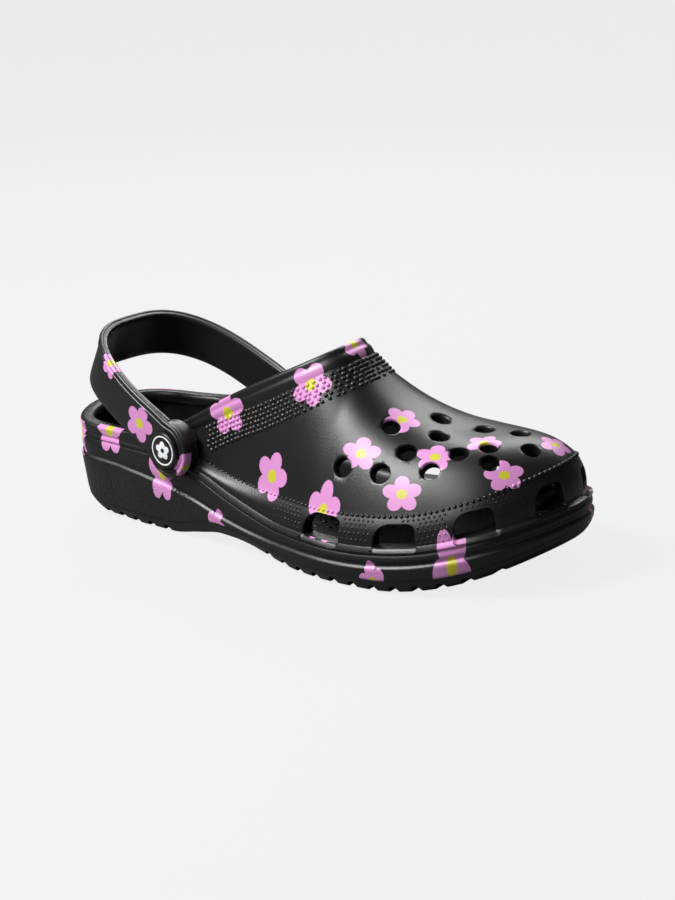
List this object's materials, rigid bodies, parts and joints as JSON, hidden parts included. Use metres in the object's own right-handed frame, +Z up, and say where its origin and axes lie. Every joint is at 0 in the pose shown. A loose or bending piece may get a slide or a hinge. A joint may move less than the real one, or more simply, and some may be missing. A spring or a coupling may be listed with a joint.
{
  "type": "foam clog",
  "caption": "Moulded foam clog for a right foot, with ventilated toe box, raised collar and a pivoting heel strap held by rivets.",
  "frame": {"origin": "on the ground under the middle of the heel, on the flat heel tread", "axes": "+X points to the toe, +Y to the inner side of the foot, +Z up"},
  "size_m": [0.2625, 0.1056, 0.0913],
  "materials": {
    "foam": "matte",
    "strap_foam": "satin",
    "rivet_plastic": "satin",
    "badge_print": "satin"
  },
  "bodies": {
    "clog": {"clog_shell": "foam"},
    "strap": {"heel_strap": "strap_foam"},
    "outer_rivet": {"rivet_head_outer": "rivet_plastic", "rivet_badge_outer": "badge_print", "rivet_cap_outer": "rivet_plastic"},
    "inner_rivet": {"rivet_head_inner": "rivet_plastic", "rivet_badge_inner": "badge_print", "rivet_cap_inner": "rivet_plastic"}
  },
  "joints": [
    {"name": "strap_pivot", "type": "hinge", "parent": "clog", "child": "strap", "pos_m": [0.03591, -0.03799, 0.043], "axis": [0.1467, 0.9892, 0], "range_deg": [-8, 98]},
    {"name": "outer_rivet_turn", "type": "hinge", "parent": "clog", "child": "outer_rivet", "pos_m": [0.03591, -0.03799, 0.043], "axis": [0.1467, 0.9892, 0], "continuous": true},
    {"name": "inner_rivet_turn", "type": "hinge", "parent": "clog", "child": "inner_rivet", "pos_m": [0.04691, 0.03619, 0.043], "axis": [0.1467, 0.9892, 0], "continuous": true}
  ]
}
